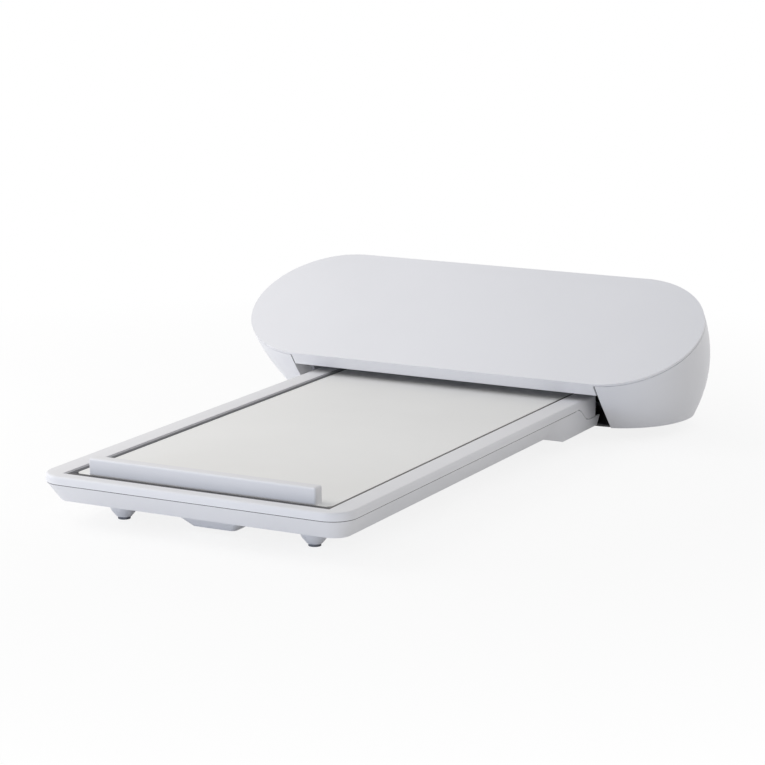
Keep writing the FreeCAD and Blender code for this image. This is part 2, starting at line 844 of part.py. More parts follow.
def chassis_base():
    """The head's floor, which meets the bed's tail, with ribs that carry the platen guides."""
    thick = size("chassis_thick")
    outline = chassis_outline(0, size("base_height") - thick)
    floor = shaped("chassis_floor", outline.extrude(Vector(0, 0, thick)))
    shaft_line = (from_back("feed_back"), SHAFT_HEIGHT)
    ribs = []
    holes = []
    for name, side in SIDES:
        span = mirrored(side, "guide_rib_place - guide_rib / 2", "guide_rib_place + guide_rib / 2")
        ribs.append(block(f"{name}_chassis_rib", span, (from_back("keel_tail"), from_back("guide_back")),
                          ("base_height", "guide_bottom")))
        holes.append(rod(f"{name}_shaft_pass", "x", shaft_line, span, "bush_radius"))
    node("chassis_base", carve("chassis_pierced", join("chassis_ribbed", [floor] + ribs), holes))


PITCH_LINE = "platen_top - platen_plate - platen_frame - rack_body - tooth_module"
SHAFT_HEIGHT = f"{PITCH_LINE} - tooth_module * {TOOTH_COUNT} / 2"


def side_plates():
    """Steel plates that stand on the chassis and carry the rail and the feed shaft."""
    outer = "cap_inner - cover_gap"
    shaft_line = (from_back("feed_back"), SHAFT_HEIGHT)
    for name, side in SIDES:
        body = doc.addObject("PartDesign::Body", f"{name}_plate")
        offset = f"{outer} - plate_thick" if side > 0 else f"-({outer})"
        profile = [
            (from_back("plate_toe"), "base_height"),
            (from_back("plate_front"), "rim_top + plate_step"),
            (from_back("plate_brow"), "rim_top + plate_brow_rise"),
            (from_back("plate_crest"), "rail_height + plate_rise"),
            (from_back("plate_nape"), "rail_height + plate_rise / 3"),
            (from_back("plate_heel"), "base_height"),
        ]
        plate = pad(body, "YZ_Plane", profile, offset, "plate_thick")
        rounded(body, plate, "plate_thick * 3", lambda edge: edge.BoundBox.XLength > size("plate_thick") / 2
                and edge.CenterOfMass.z > size("base_height") + 1)
        openings = [rod(f"{name}_bush_hole", "x", shaft_line, mirrored(side, "0", WIDE), "bush_radius")]
        for index in range(2):
            place = from_back(f"feed_back - window_behind - {index} * window_pitch")
            along, level = (place, f"{place} + window_width"), ("window_low", "window_low + window_tall")
            openings.append(block(f"{name}_plate_window{index}", mirrored(side, "0", WIDE), along, level))
        node(f"{name}_side_plate", carve(f"{name}_plate_pierced", body, openings))
    bushes = []
    inner = f"{outer} - plate_thick"
    for name, side in SIDES:
        barrel = rod(f"{name}_bush_barrel", "x", shaft_line, mirrored(side, inner, outer), "bush_radius")
        flange_span = mirrored(side, f"{inner} - bush_flange_thick", inner)
        flange = rod(f"{name}_bush_flange", "x", shaft_line, flange_span, "bush_flange")
        inward = mirrored(side, "0", WIDE)
        bore = rod(f"{name}_bush_bore", "x", shaft_line, inward, "shaft_radius + shaft_gap")
        bushes.append(carve(f"{name}_bush", join(f"{name}_bush_solid", [barrel, flange]), [bore]))
    node("shaft_bushes", group("bushes", bushes))


# Platen and guides


def guides():
    """Dark L-shaped guides along both sides of the platen, and the stop at its front."""
    inner = "bed_width / 2 - rim_side"
    along = (from_front("rim_front"), from_back("guide_back"))
    for name, side in SIDES:
        wall = block(f"{name}_guide_wall", mirrored(side, f"{inner} - guide_wall", inner), along,
                     ("guide_bottom", "guide_top"))
        ledge = block(f"{name}_guide_ledge", mirrored(side, f"{inner} - guide_ledge", inner), along,
                      ("guide_bottom", "guide_bottom + guide_ledge_thick"))
        node(f"{name}_platen_guide", join(f"{name}_guide", [wall, ledge]))
    wide = f"{inner} - guide_ledge"
    deep = (from_front("rim_front"), from_front("rim_front + stop_depth"))
    bar = block("stop_bar", (f"-({inner}) + guide_wall", f"{inner} - guide_wall"), deep,
                ("guide_bottom + guide_ledge_thick", "guide_top"))
    foot = block("stop_foot", (f"-({wide})", wide), deep,
                 ("guide_bottom", "guide_bottom + guide_ledge_thick"))
    node("front_stop", join("stop", [bar, foot]))


def platen():
    """The moving plate that holds the work, its ribbed frame and the bar across its front."""
    half = "bed_width / 2 - rim_side - guide_wall"
    plate_half = f"{half} - platen_edge"
    along = (from_front("platen_front"), from_back("platen_back"))
    body = doc.addObject("PartDesign::Body", "plate")
    plate = pad(body, "XY_Plane", rectangle((f"-({plate_half})", plate_half), along),
                "platen_top - platen_plate", "platen_plate")
    rounded(body, plate, "platen_corner", is_upright)
    node("platen_plate", body)

    frame_half = f"{half} - slide_gap"
    top = "platen_top - platen_plate"
    solid = block("frame_solid", (f"-({frame_half})", frame_half), (f"{along[0]} + 1", along[1]),
                  (f"{top} - platen_frame", top))
    pockets = []
    strip = "(rack_place - rack_width / 2 - frame_skin)"
    outer_low, outer_high = "(rack_place + rack_width / 2 + frame_skin)", f"({frame_half} - frame_border)"
    columns = ((f"-{outer_high}", f"-{outer_low}"), (f"-{strip}", strip), (outer_low, outer_high))
    length = f"(({along[1]}) - ({along[0]}) - frame_border) / {FRAME_ROWS}"
    level = (f"{top} - platen_frame", f"{top} - frame_skin")
    for row in range(FRAME_ROWS):
        start = f"{along[0]} + frame_border + {row} * {length}"
        span = (start, f"{start} + {length} - frame_border")
        for index, across in enumerate(columns):
            pockets.append(block(f"frame_pocket{row}{index}", across, span, level))
    node("platen_frame", carve("frame", solid, pockets))

    bar = doc.addObject("PartDesign::Body", "bar")
    rise = pad(bar, "XY_Plane", rectangle(("-bar_length / 2", "bar_length / 2"),
               (along[0], f"{along[0]} + bar_depth")), "platen_top", "bar_rise")
    rounded(bar, rise, "bar_round", lambda edge: edge.CenterOfMass.z > size("platen_top") + 1)
    wall = "(shell_wall + bar_round / 2)"
    hollow = rectangle((f"-bar_length / 2 + {wall}", f"bar_length / 2 - {wall}"),
                       (f"{along[0]} + {wall}", f"{along[0]} + bar_depth - {wall}"))
    pocket(bar, "XY_Plane", hollow, "platen_top", f"bar_rise - {wall}", True)
    node("platen_bar", bar)


# Toothed drive of the platen


def rack_face(low_x):
    """The rack's side view, teeth down, with a tooth gap straight above the feed shaft."""
    module, backlash = size("tooth_module"), size("tooth_backlash")
    pitch = math.pi * module
    top = size("platen_top") - size("platen_plate") - size("platen_frame")
    root = top - size("rack_body")
    line = root - DEDENDUM * module
    tip = line - STUB_ADDENDUM * module
    slope = math.tan(PRESSURE_ANGLE)
    centre = back_y("feed_back")
    front, rear = front_y("rack_front"), back_y("platen_back") - 1
    half = pitch / 4 - backlash / 2
    root_half, tip_half = half + (root - line) * slope, half - (line - tip) * slope
    first = math.ceil((front - centre) / pitch)
    last = math.floor((rear - centre) / pitch) - 1
    points = [Vector(low_x, front, root)]
    for index in range(first, last + 1):
        middle = centre + (index + 0.5) * pitch
        for reach, z in ((-root_half, root), (-tip_half, tip), (tip_half, tip), (root_half, root)):
            points.append(Vector(low_x, middle + reach, z))
    points += [Vector(low_x, rear, root), Vector(low_x, rear, top), Vector(low_x, front, top)]
    return Part.Face(Part.makePolygon(points + points[:1]))


def pinion_face(low_x):
    """A pinion with involute flanks and one tooth straight up, about the feed shaft."""
    module, backlash = size("tooth_module"), size("tooth_backlash")
    radius = module * TOOTH_COUNT / 2
    base = radius * math.cos(PRESSURE_ANGLE)
    tip, root = radius + STUB_ADDENDUM * module, radius - DEDENDUM * module
    involute = math.tan(PRESSURE_ANGLE) - PRESSURE_ANGLE
    half = (math.pi * module / 2 - backlash) / (2 * radius)

    def flank_angle(at):
        pressure = math.acos(min(1, base / at))
        return half + involute - (math.tan(pressure) - pressure)

    start = max(base, root)
    steps = [start + (tip - start) * step / FLANK_STEPS for step in range(FLANK_STEPS + 1)]
    flank = [(root, flank_angle(start))] + [(at, flank_angle(at)) for at in steps]
    tooth = [(at, -angle) for at, angle in flank] + [(at, angle) for at, angle in reversed(flank)]
    y, z = back_y("feed_back"), shaft_height()
    points = []
    for index in range(TOOTH_COUNT):
        turn = 2 * math.pi * index / TOOTH_COUNT
        for at, angle in tooth:
            points.append(Vector(low_x, y + at * math.sin(turn + angle), z + at * math.cos(turn + angle)))
    return Part.Face(Part.makePolygon(points + points[:1]))


def shaft_height():
    line = (size("platen_top") - size("platen_plate") - size("platen_frame") - size("rack_body")
            - DEDENDUM * size("tooth_module"))
    return line - size("tooth_module") * TOOTH_COUNT / 2


def extruded(name, face, length):
    """A flat face in the YZ plane, pulled along X by a bound length."""
    item = doc.addObject("Part::Extrusion", name)
    item.Base = shaped(name + "_face", face)
    item.DirMode = "Custom"
    item.Dir = Vector(1, 0, 0)
    item.Solid = True
    bind(item, "LengthFwd", length)
    return item


def feed_drive():
    """Racks under the platen, and the shaft with two pinions that moves them."""
    reach = "cap_inner - cover_gap - slide_gap"
    line = (from_back("feed_back"), SHAFT_HEIGHT)
    racks = []
    pinions = []
    for name, side in SIDES:
        place = side * size("rack_place")
        racks.append(extruded(f"{name}_rack", rack_face(place - size("rack_width") / 2), "rack_width"))
        wheel = extruded(f"{name}_pinion", pinion_face(place - size("pinion_width") / 2), "pinion_width")
        bore = rod(f"{name}_pinion_bore", "x", line, mirrored(side, "0", WIDE), "shaft_radius")
        pinions.append(carve(f"{name}_pinion_bored", wheel, [bore]))
    node("platen_racks", group("racks", racks))
    node("feed_shaft", rod("feed_rod", "x", line, (f"-({reach})", reach), "shaft_radius"))
    node("feed_pinions", group("pinions", pinions))


def belt_loop(first, second, thick):
    """A belt's side view round two pulleys, each (u, v, inner radius), as a face with a hole."""

    def loop(extra):
        (u_a, v_a, r_a), (u_b, v_b, r_b) = first, second
        r_a, r_b = r_a + extra, r_b + extra
        run = math.hypot(u_b - u_a, v_b - v_a)
        heading = math.atan2(v_b - v_a, u_b - u_a)
        tilt = math.acos((r_a - r_b) / run)

        def on(centre_u, centre_v, radius, turn):
            return Vector(centre_u + radius * math.cos(turn), centre_v + radius * math.sin(turn), 0)

        high, low = heading + tilt, heading - tilt
        a_high, a_low = on(u_a, v_a, r_a, high), on(u_a, v_a, r_a, low)
        b_high, b_low = on(u_b, v_b, r_b, high), on(u_b, v_b, r_b, low)
        round_a = Part.Arc(a_high, on(u_a, v_a, r_a, heading + math.pi), a_low).toShape()
        round_b = Part.Arc(b_low, on(u_b, v_b, r_b, heading), b_high).toShape()
        return Part.Wire([round_a, Part.makeLine(a_low, b_low), round_b, Part.makeLine(b_high, a_high)])

    return Part.Face(loop(thick)).cut(Part.Face(loop(0)))


def belt(name, first, second, to_frame):
    """A flat belt of the sheet's width and thickness, put into place by a placement."""
    width = size("belt_width")
    solid = belt_loop(first, second, size("belt_thick")).extrude(Vector(0, 0, width))
    item = shaped(name, solid.Solids[0])
    item.Placement = to_frame
    return item


def pulley(name, radius, shaft_back):
    """A flanged pulley on its own Z axis, belt centred on zero, with a shaft stub behind it."""
    half = "(belt_width / 2 + cover_gap)"
    face = f"({half} + flange_thick)"
    rim = f"({radius} + flange_rise)"
    end = f"{face} + {shaft_back}"
    return turned(name, [
        ("0", f"-{face}"), (rim, f"-{face}"), (rim, f"-{half}"), (radius, f"-{half}"), (radius, half),
        (rim, half), (rim, face), ("motor_shaft", face), ("motor_shaft", end), ("0", end),
    ])


def motor(name, along):
    """A flat square motor, face at local zero, body behind it along +Z, with a bore for the shaft."""
    body = doc.addObject("PartDesign::Body", name)
    side = ("-motor_side / 2", "motor_side / 2")
    can = pad(body, "XY_Plane", rectangle(side, side), "0", "motor_length")
    rounded(body, can, "motor_corner", is_upright)
    bore = rod(name + "_bore", "z", ("0", "0"), ("-1", "motor_length * 0.7"), "motor_shaft + shaft_gap")
    item = carve(name + "_bored", body, [bore])
    item.Placement = along
    return item


def feed_motor_group():
    """The motor beside the platen that turns the feed shaft through a belt."""
    y, z = back_y("feed_motor_back"), size("feed_motor_height")
    place, gap = size("feed_belt_place"), size("slide_gap")
    half = size("belt_width") / 2 + size("cover_gap") + size("flange_thick")
    inward = Rotation(Vector(0, 1, 0), -90)
    stub = "(bracket_thick + slide_gap + motor_length * 0.6)"
    wheel = pulley("feed_motor_wheel", "feed_motor_radius", stub)
    wheel.Placement = FreeCAD.Placement(Vector(place, y, z), inward)
    node("feed_motor_pulley", wheel)
    face = place - half - gap - size("bracket_thick")
    node("feed_motor", motor("feed_motor_can", FreeCAD.Placement(Vector(face, y, z), inward)))
    half_wheel = "(belt_width / 2 + cover_gap + flange_thick)"
    low = f"feed_belt_place - {half_wheel} - slide_gap - bracket_thick"
    high = f"{low} + bracket_thick"
    along = (from_back("feed_motor_back + motor_side / 2"), from_back("feed_motor_back - motor_side / 2"))
    level = ("base_height", "feed_motor_height + motor_side / 2")
    upright = block("feed_bracket_plate", (low, high), along, level)
    foot = block("feed_bracket_foot", (f"{low} - bracket_foot", low), along,
                 ("base_height", "base_height + bracket_thick"))
    bore = rod("feed_bracket_bore", "x", (from_back("feed_motor_back"), "feed_motor_height"), (low, high),
               "motor_shaft + shaft_gap")
    node("feed_motor_bracket", carve("feed_bracket", join("feed_bracket_solid", [upright, foot]), [bore]))
    line = (from_back("feed_back"), SHAFT_HEIGHT)
    core = rod("feed_core", "x", line, (f"feed_belt_place - {half_wheel}", f"feed_belt_place + {half_wheel}"),
               "feed_pulley_radius")
    rims = [
        rod(f"feed_{name}_rim", "x", line, span, "feed_pulley_radius + flange_rise")
        for name, span in (
            ("inner", (f"feed_belt_place - {half_wheel}", f"feed_belt_place - {half_wheel} + flange_thick")),
            ("outer", (f"feed_belt_place + {half_wheel} - flange_thick", f"feed_belt_place + {half_wheel}")),
        )
    ]
    bore = rod("feed_hub_bore", "x", line, ("0", WIDE), "shaft_radius")
    node("feed_pulley", carve("feed_pulley_bored", join("feed_pulley_solid", [core] + rims), [bore]))
    upright_turn = Rotation(Vector(1, 1, 1), 120)
    upright_plane = FreeCAD.Placement(Vector(place - size("belt_width") / 2, 0, 0), upright_turn)
    shaft_end = (back_y("feed_back"), shaft_height(), size("feed_pulley_radius") + gap)
    motor_end = (y, z, size("feed_motor_radius") + gap)
    node("feed_belt", belt("feed_belt_loop", shaft_end, motor_end, upright_plane))


# Carriage


def carriage_rail():
    """A hollow rail between the side plates."""
    half = "(cap_inner - cover_gap - plate_thick)"
    body = doc.addObject("PartDesign::Body", "rail")
    low_y, high_y = from_back("rail_back + rail_deep / 2"), from_back("rail_back - rail_deep / 2")
    low_z, high_z = "rail_height - rail_tall / 2", "rail_height + rail_tall / 2"
    wall, groove = "rail_wall", "rail_tall / 10"
    below, above = f"rail_height - {groove}", f"rail_height + {groove}"
    profile = [
        (low_y, low_z), (high_y, low_z), (high_y, below), (f"{high_y} - {wall}", "rail_height"),
        (high_y, above), (high_y, high_z), (low_y, high_z), (low_y, above),
        (f"{low_y} + {wall}", "rail_height"), (low_y, below),
    ]
    pad(body, "YZ_Plane", profile, f"-{half}", f"2 * {half}")
    core = block("rail_core", (f"-{half}", half), (f"{low_y} + 2 * {wall}", f"{high_y} - 2 * {wall}"),
                 (f"{low_z} + {wall}", f"{high_z} - {wall}"))
    node("carriage_rail", carve("rail_hollow", body, [core]))


def carriage():
    """The block that runs on the rail, its belt clamp and its two sprung tools."""
    gap = "slide_gap"
    low_y = from_back(f"rail_back + rail_deep / 2 + {gap}")
    high_y = from_back(f"rail_back - rail_deep / 2 - {gap}")
    low_z, high_z = f"rail_height - rail_tall / 2 - {gap}", f"rail_height + rail_tall / 2 + {gap}"
    front, rear = f"{low_y} - carriage_front", f"{high_y} + carriage_wall"
    width = ("-carriage_width / 2", "carriage_width / 2")
    tall = (f"{low_z} - carriage_wall", f"{high_z} + carriage_wall")
    ring = block("carriage_ring", width, (front, rear), tall)
    apron = block("carriage_apron", width, (front, low_y), (f"{low_z} - carriage_drop", low_z))
    channel = block("carriage_channel", width, (low_y, high_y), (low_z, high_z))
    slots = []
    for name, side in SIDES:
        half = f"(tongue_width / 2 + {gap})"
        across = (f"{side} * tool_place - {half}", f"{side} * tool_place + {half}")
        deep = (front, f"{front} + tongue_depth + {gap}")
        slots.append(block(f"{name}_tool_slot", across, deep, ("0", TALL)))
    node("carriage_body", carve("carriage_block", join("carriage_solid", [ring, apron]), [channel] + slots))

    belt_z = f"rail_height + pulley_radius + {gap}"
    clamp = block("clamp_solid", ("-clamp_width / 2", "clamp_width / 2"),
                  (rear, from_back("belt_back - belt_width / 2 - clamp_jaw / 2")),
                  (f"{belt_z} - clamp_jaw", f"{belt_z} + belt_thick + clamp_jaw"))
    slit = block("clamp_slit", ("-clamp_width", "clamp_width"),
                 (from_back(f"belt_back + belt_width / 2 + {gap}"), from_back("0")),
                 (f"{belt_z} - {gap}", f"{belt_z} + belt_thick + {gap}"))
    node("belt_clamp", carve("clamp", clamp, [slit]))

    for name, side in SIDES:
        place = f"{side} * tool_place"
        clear = f"{front} - {gap}"
        holder = block(f"{name}_holder_block", (f"{place} - holder_width / 2", f"{place} + holder_width / 2"),
                       (f"{clear} - holder_depth", clear), ("holder_bottom", "holder_top"))
        tongue_span = (f"{place} - tongue_width / 2", f"{place} + tongue_width / 2")
        tongue = block(f"{name}_holder_tongue", tongue_span, (clear, f"{front} + tongue_depth"),
                       ("holder_bottom", "holder_top"))
        axis_y = f"{clear} - holder_depth / 2"
        level = ("holder_bottom", "holder_top")
        bore = rod(f"{name}_holder_bore", "z", (place, axis_y), level, "cartridge_radius")
        split = block(f"{name}_holder_split", (f"{place} - holder_slit / 2", f"{place} + holder_slit / 2"),
                      (f"{clear} - holder_depth", axis_y), level)
        solid = join(f"{name}_holder_solid", [holder, tongue])
        node(f"{name}_tool_holder", carve(f"{name}_holder", solid, [bore, split]))
        blade = turned(f"{name}_cartridge", [
            ("0", "cartridge_tip"), ("cartridge_nose", "cartridge_tip"), ("cartridge_nose", "cartridge_neck"),
            ("cartridge_radius", "holder_bottom - cartridge_nose"), ("cartridge_radius", "holder_top"),
            ("cartridge_cap", "holder_top"), ("cartridge_cap", "cartridge_top"), ("0", "cartridge_top"),
        ])
        bind(blade, "Placement.Base.x", place)
        bind(blade, "Placement.Base.y", axis_y)
        node(f"{name}_blade_cartridge", blade)


def carriage_drive():
    """The belt behind the rail, its motor at the right and its idler at the left."""
    gap, y, z = size("slide_gap"), back_y("belt_back"), size("rail_height")
    place, radius = size("belt_place"), size("pulley_radius") + gap
    half = size("belt_width") / 2 + size("cover_gap") + size("flange_thick")
    backward = Rotation(Vector(1, 0, 0), -90)
    stub = "(bracket_thick + slide_gap + motor_length * 0.6)"
    wheel = pulley("drive_wheel", "pulley_radius", stub)
    wheel.Placement = FreeCAD.Placement(Vector(place, y, z), backward)
    node("drive_pulley", wheel)
    face = y + half + gap + size("bracket_thick")
    node("carriage_motor", motor("carriage_motor_can", FreeCAD.Placement(Vector(place, face, z), backward)))
    idler = pulley("idler_wheel", "pulley_radius", "bracket_thick + slide_gap")
    idler.Placement = FreeCAD.Placement(Vector(-place, y, z), backward)
    node("idler_pulley", idler)
    node("carriage_belt", belt("carriage_belt_loop", (-place, -z, radius), (place, -z, radius),
                               FreeCAD.Placement(Vector(0, y - size("belt_width") / 2, 0), backward)))
    low = from_back("belt_back - belt_width / 2 - cover_gap - flange_thick - slide_gap")
    edge = "cap_inner - cover_gap - plate_thick"
    level = ("rail_height - motor_side / 2", "rail_height + motor_side / 2")
    flanges = {
        "idler": (low, f"{low} + bracket_flange"),
        "motor": (f"{low} + bracket_thick - bracket_flange", low),
    }
    for label, side in (("idler", -1), ("motor", 1)):
        across = mirrored(side, "belt_place - motor_side / 2", edge)
        plate = block(f"{label}_bracket_plate", across, (low, f"{low} + bracket_thick"), level)
        flange_span = mirrored(side, f"{edge} - bracket_thick", edge)
        flange = block(f"{label}_bracket_flange", flange_span, flanges[label], level)
        bore = rod(f"{label}_bracket_bore", "y", (f"{side} * belt_place", "rail_height"),
                   (low, f"{low} + bracket_thick"), "motor_shaft + shaft_gap")
        solid = join(f"{label}_bracket_solid", [plate, flange])
        node(f"{label}_bracket", carve(f"{label}_bracket_bored", solid, [bore]))


# Electronics and ports


def ports():
    """A recessed panel at the back with a power jack, a data port and the power button."""
    face = from_back("panel_back")
    inside = f"{face} - panel_thick"
    back = f"{face} - port_depth"
    jack_line, button_line = ("jack_place", "port_height"), ("button_place", "port_height")
    plate = block("panel_plate", ("panel_left - port_frame", "panel_right + port_frame"), (inside, face),
                  ("base_height", "panel_top"))
    jack_hole = rod("jack_hole", "y", jack_line, (inside, face), "jack_body")
    button_hole = rod("button_hole", "y", button_line, (inside, face), "button_radius + slide_gap")
    data_half, data_tall = "(data_width / 2 + data_wall)", "(data_tall / 2 + data_wall)"
    data_span = (f"data_place - {data_half}", f"data_place + {data_half}")
    data_level = (f"port_height - {data_tall}", f"port_height + {data_tall}")
    data_hole = block("data_hole", data_span, (inside, face), data_level)
    node("port_panel", carve("panel", plate, [jack_hole, button_hole, data_hole]))

    barrel = rod("jack_barrel", "y", jack_line, (back, face), "jack_body")
    jack_bore = rod("jack_socket", "y", jack_line, (f"{back} + data_wall", face), "jack_bore")
    node("power_jack", carve("jack", barrel, [jack_bore]))

    case = block("data_case", data_span, (back, face), data_level)
    cavity = block("data_cavity", ("data_place - data_width / 2", "data_place + data_width / 2"),
                   (f"{back} + data_wall", face),
                   ("port_height - data_tall / 2", "port_height + data_tall / 2"))
    node("data_port", carve("data", case, [cavity]))

    stop = f"{inside} - slide_gap"
    stem = rod("button_stem", "y", button_line, (stop, f"{face} + button_rise"), "button_radius")
    flange = rod("button_rim", "y", button_line, (f"{stop} - data_wall", stop), "button_flange")
    node("power_button", join("button", [stem, flange]))


def circuit_board():
    """The main board over the chassis floor, on four posts, with its larger components."""
    width, depth = "(board_left - board_right)", "(board_front - board_rear)"
    top = "board_height + board_thick"

    def on_board(name, x, y, height):
        """A block on the board, its sides given as shares of the board's width and depth."""
        across = [f"-board_left + {share} * {width}" for share in x]
        along = [from_back(f"board_front - {share} * {depth}") for share in y]
        return block(name, across, along, (top, f"{top} + {height}"))

    card = block("board_card", ("-board_left", "-board_right"),
                 (from_back("board_front"), from_back("board_rear")), ("board_height", top))
    chip = on_board("board_chip", (0.23, 0.35), (0.34, 0.52), "chip_height")
    heat_sink = on_board("board_heat_sink", (0.69, 0.85), (0.16, 0.5), "heat_sink_height")
    connectors = on_board("board_connectors", (0.15, 0.85), (0.86, 0.93), "connector_height")
    node("main_board", join("board", [card, chip, heat_sink, connectors]))
    posts = []
    for row, back in enumerate(("board_front - post_inset", "board_rear + post_inset")):
        for column, place in enumerate(("-board_left + post_inset", "-board_right - post_inset")):
            posts.append(rod(f"board_post{row}{column}", "z", (place, from_back(back)),
                             ("base_height", "board_height"), "post_radius"))
    node("board_posts", group("posts", posts))


def build():
    bed_top_cover()
    bed_bottom_cover()
    feet()
    outer, hollow = head_volume("head_outer", 0), head_volume("head_hollow", size("shell_wall"))
    skin = lid_panel(outer, hollow)
    end_covers(outer, hollow)
    rear_cover(skin)
    hinge_pins()
    chassis_base()
    side_plates()
    guides()
    platen()
    feed_drive()
    feed_motor_group()
    carriage_rail()
    carriage()
    carriage_drive()
    ports()
    circuit_board()


def hand_in():
    """Checks every object, then writes each sub-part."""
    doc.recompute()
    failed = [item.Name for item in doc.Objects if "Invalid" in item.State or "Error" in item.State]
    if failed:
        raise RuntimeError(f"objects that failed: {failed}")
    for item in subparts:
        if item.Shape.isNull() or not item.Shape.isValid() or not item.Shape.Solids:
            raise RuntimeError(f"bad shape: {item.Label}")
    os.makedirs("parts", exist_ok=True)
    for item in subparts:
        item.Shape.exportStep(f"parts/{item.Label}.step")


build()
hand_in()
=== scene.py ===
import json
import math

import bmesh
import bpy
from mathutils import Matrix, Vector


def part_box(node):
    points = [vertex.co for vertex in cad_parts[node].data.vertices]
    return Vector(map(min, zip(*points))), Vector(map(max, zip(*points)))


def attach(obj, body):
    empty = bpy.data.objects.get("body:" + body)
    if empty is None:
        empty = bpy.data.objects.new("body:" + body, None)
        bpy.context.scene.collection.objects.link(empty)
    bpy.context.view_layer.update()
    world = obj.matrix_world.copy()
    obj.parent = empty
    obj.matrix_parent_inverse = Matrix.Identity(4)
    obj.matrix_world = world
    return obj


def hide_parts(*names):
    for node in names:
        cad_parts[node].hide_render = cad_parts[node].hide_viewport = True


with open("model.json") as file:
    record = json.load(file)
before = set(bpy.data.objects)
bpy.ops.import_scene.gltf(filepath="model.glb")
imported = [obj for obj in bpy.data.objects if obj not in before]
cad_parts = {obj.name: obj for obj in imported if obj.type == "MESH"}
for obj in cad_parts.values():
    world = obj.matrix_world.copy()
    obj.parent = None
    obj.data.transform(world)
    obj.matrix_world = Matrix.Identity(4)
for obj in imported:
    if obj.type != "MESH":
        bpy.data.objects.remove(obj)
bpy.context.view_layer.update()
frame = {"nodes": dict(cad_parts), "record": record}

# Looks of the flatbed die cutting machine, in the frame of its solids.
# Pieces are drawn in millimetres, and camera, lamps and floor in metres.

MM = 0.001
SIDES = {"left": -1, "right": 1}
UP = (0, 0, 1)
DOWN = (0, 0, -1)
TO_FRONT = (0, -1, 0)
TO_BACK = (0, 1, 0)
TO_RIGHT = (1, 0, 0)
SMOOTH_ANGLE = math.radians(24)
WELD_REACH = 0.005 * MM

# Materials

COLOUR_DETAIL = 4
ROUGHNESS_DETAIL = 3
GRAIN_DETAIL = 2
ROUGHNESS_FINER = 6
SHADE_FROM = 0.35
SHADE_TO = 0.65
GRAIN_DEPTH = 0.2 * MM
COAT_ROUGHNESS = 0.2


def linear(colour):
    """An sRGB colour of 0 to 255 as linear values with alpha."""
    def channel(value):
        value /= 255
        return value / 12.92 if value <= 0.04045 else ((value + 0.055) / 1.055) ** 2.4
    return (*[channel(value) for value in colour], 1)


def material(name, low, high, rough, patch=14, grain=900, bump=0.02, metallic=0, coat=0, gloss=0.5,
             stretch=(1, 1, 1)):
    """A shader whose colour drifts between two shades, with its own roughness drift and surface grain."""
    made = bpy.data.materials.new(name)
    made.use_nodes = True
    nodes, links = made.node_tree.nodes, made.node_tree.links
    shader = nodes["Principled BSDF"]
    shader.inputs["Metallic"].default_value = metallic
    shader.inputs["Specular IOR Level"].default_value = gloss
    shader.inputs["Coat Weight"].default_value = coat
    shader.inputs["Coat Roughness"].default_value = COAT_ROUGHNESS
    place = nodes.new("ShaderNodeTexCoord")
    scale = nodes.new("ShaderNodeMapping")
    scale.inputs["Scale"].default_value = stretch
    links.new(place.outputs["Object"], scale.inputs["Vector"])

    def noise(size, detail):
        node = nodes.new("ShaderNodeTexNoise")
        node.inputs["Scale"].default_value = size
        node.inputs["Detail"].default_value = detail
        links.new(scale.outputs["Vector"], node.inputs["Vector"])
        return node.outputs["Fac"]

    ramp = nodes.new("ShaderNodeValToRGB")
    first, last = ramp.color_ramp.elements
    first.position = SHADE_FROM
    first.color = linear(low)
    last.position = SHADE_TO
    last.color = linear(high)
    links.new(noise(patch, COLOUR_DETAIL), ramp.inputs["Fac"])
    links.new(ramp.outputs["Color"], shader.inputs["Base Color"])
    spread = nodes.new("ShaderNodeMapRange")
    spread.inputs["To Min"].default_value = rough[0]
    spread.inputs["To Max"].default_value = rough[1]
    links.new(noise(patch * ROUGHNESS_FINER, ROUGHNESS_DETAIL), spread.inputs["Value"])
    links.new(spread.outputs["Result"], shader.inputs["Roughness"])
    relief = nodes.new("ShaderNodeBump")
    relief.inputs["Strength"].default_value = bump
    relief.inputs["Distance"].default_value = GRAIN_DEPTH
    links.new(noise(grain, GRAIN_DETAIL), relief.inputs["Height"])
    links.new(relief.outputs["Normal"], shader.inputs["Normal"])
    return made


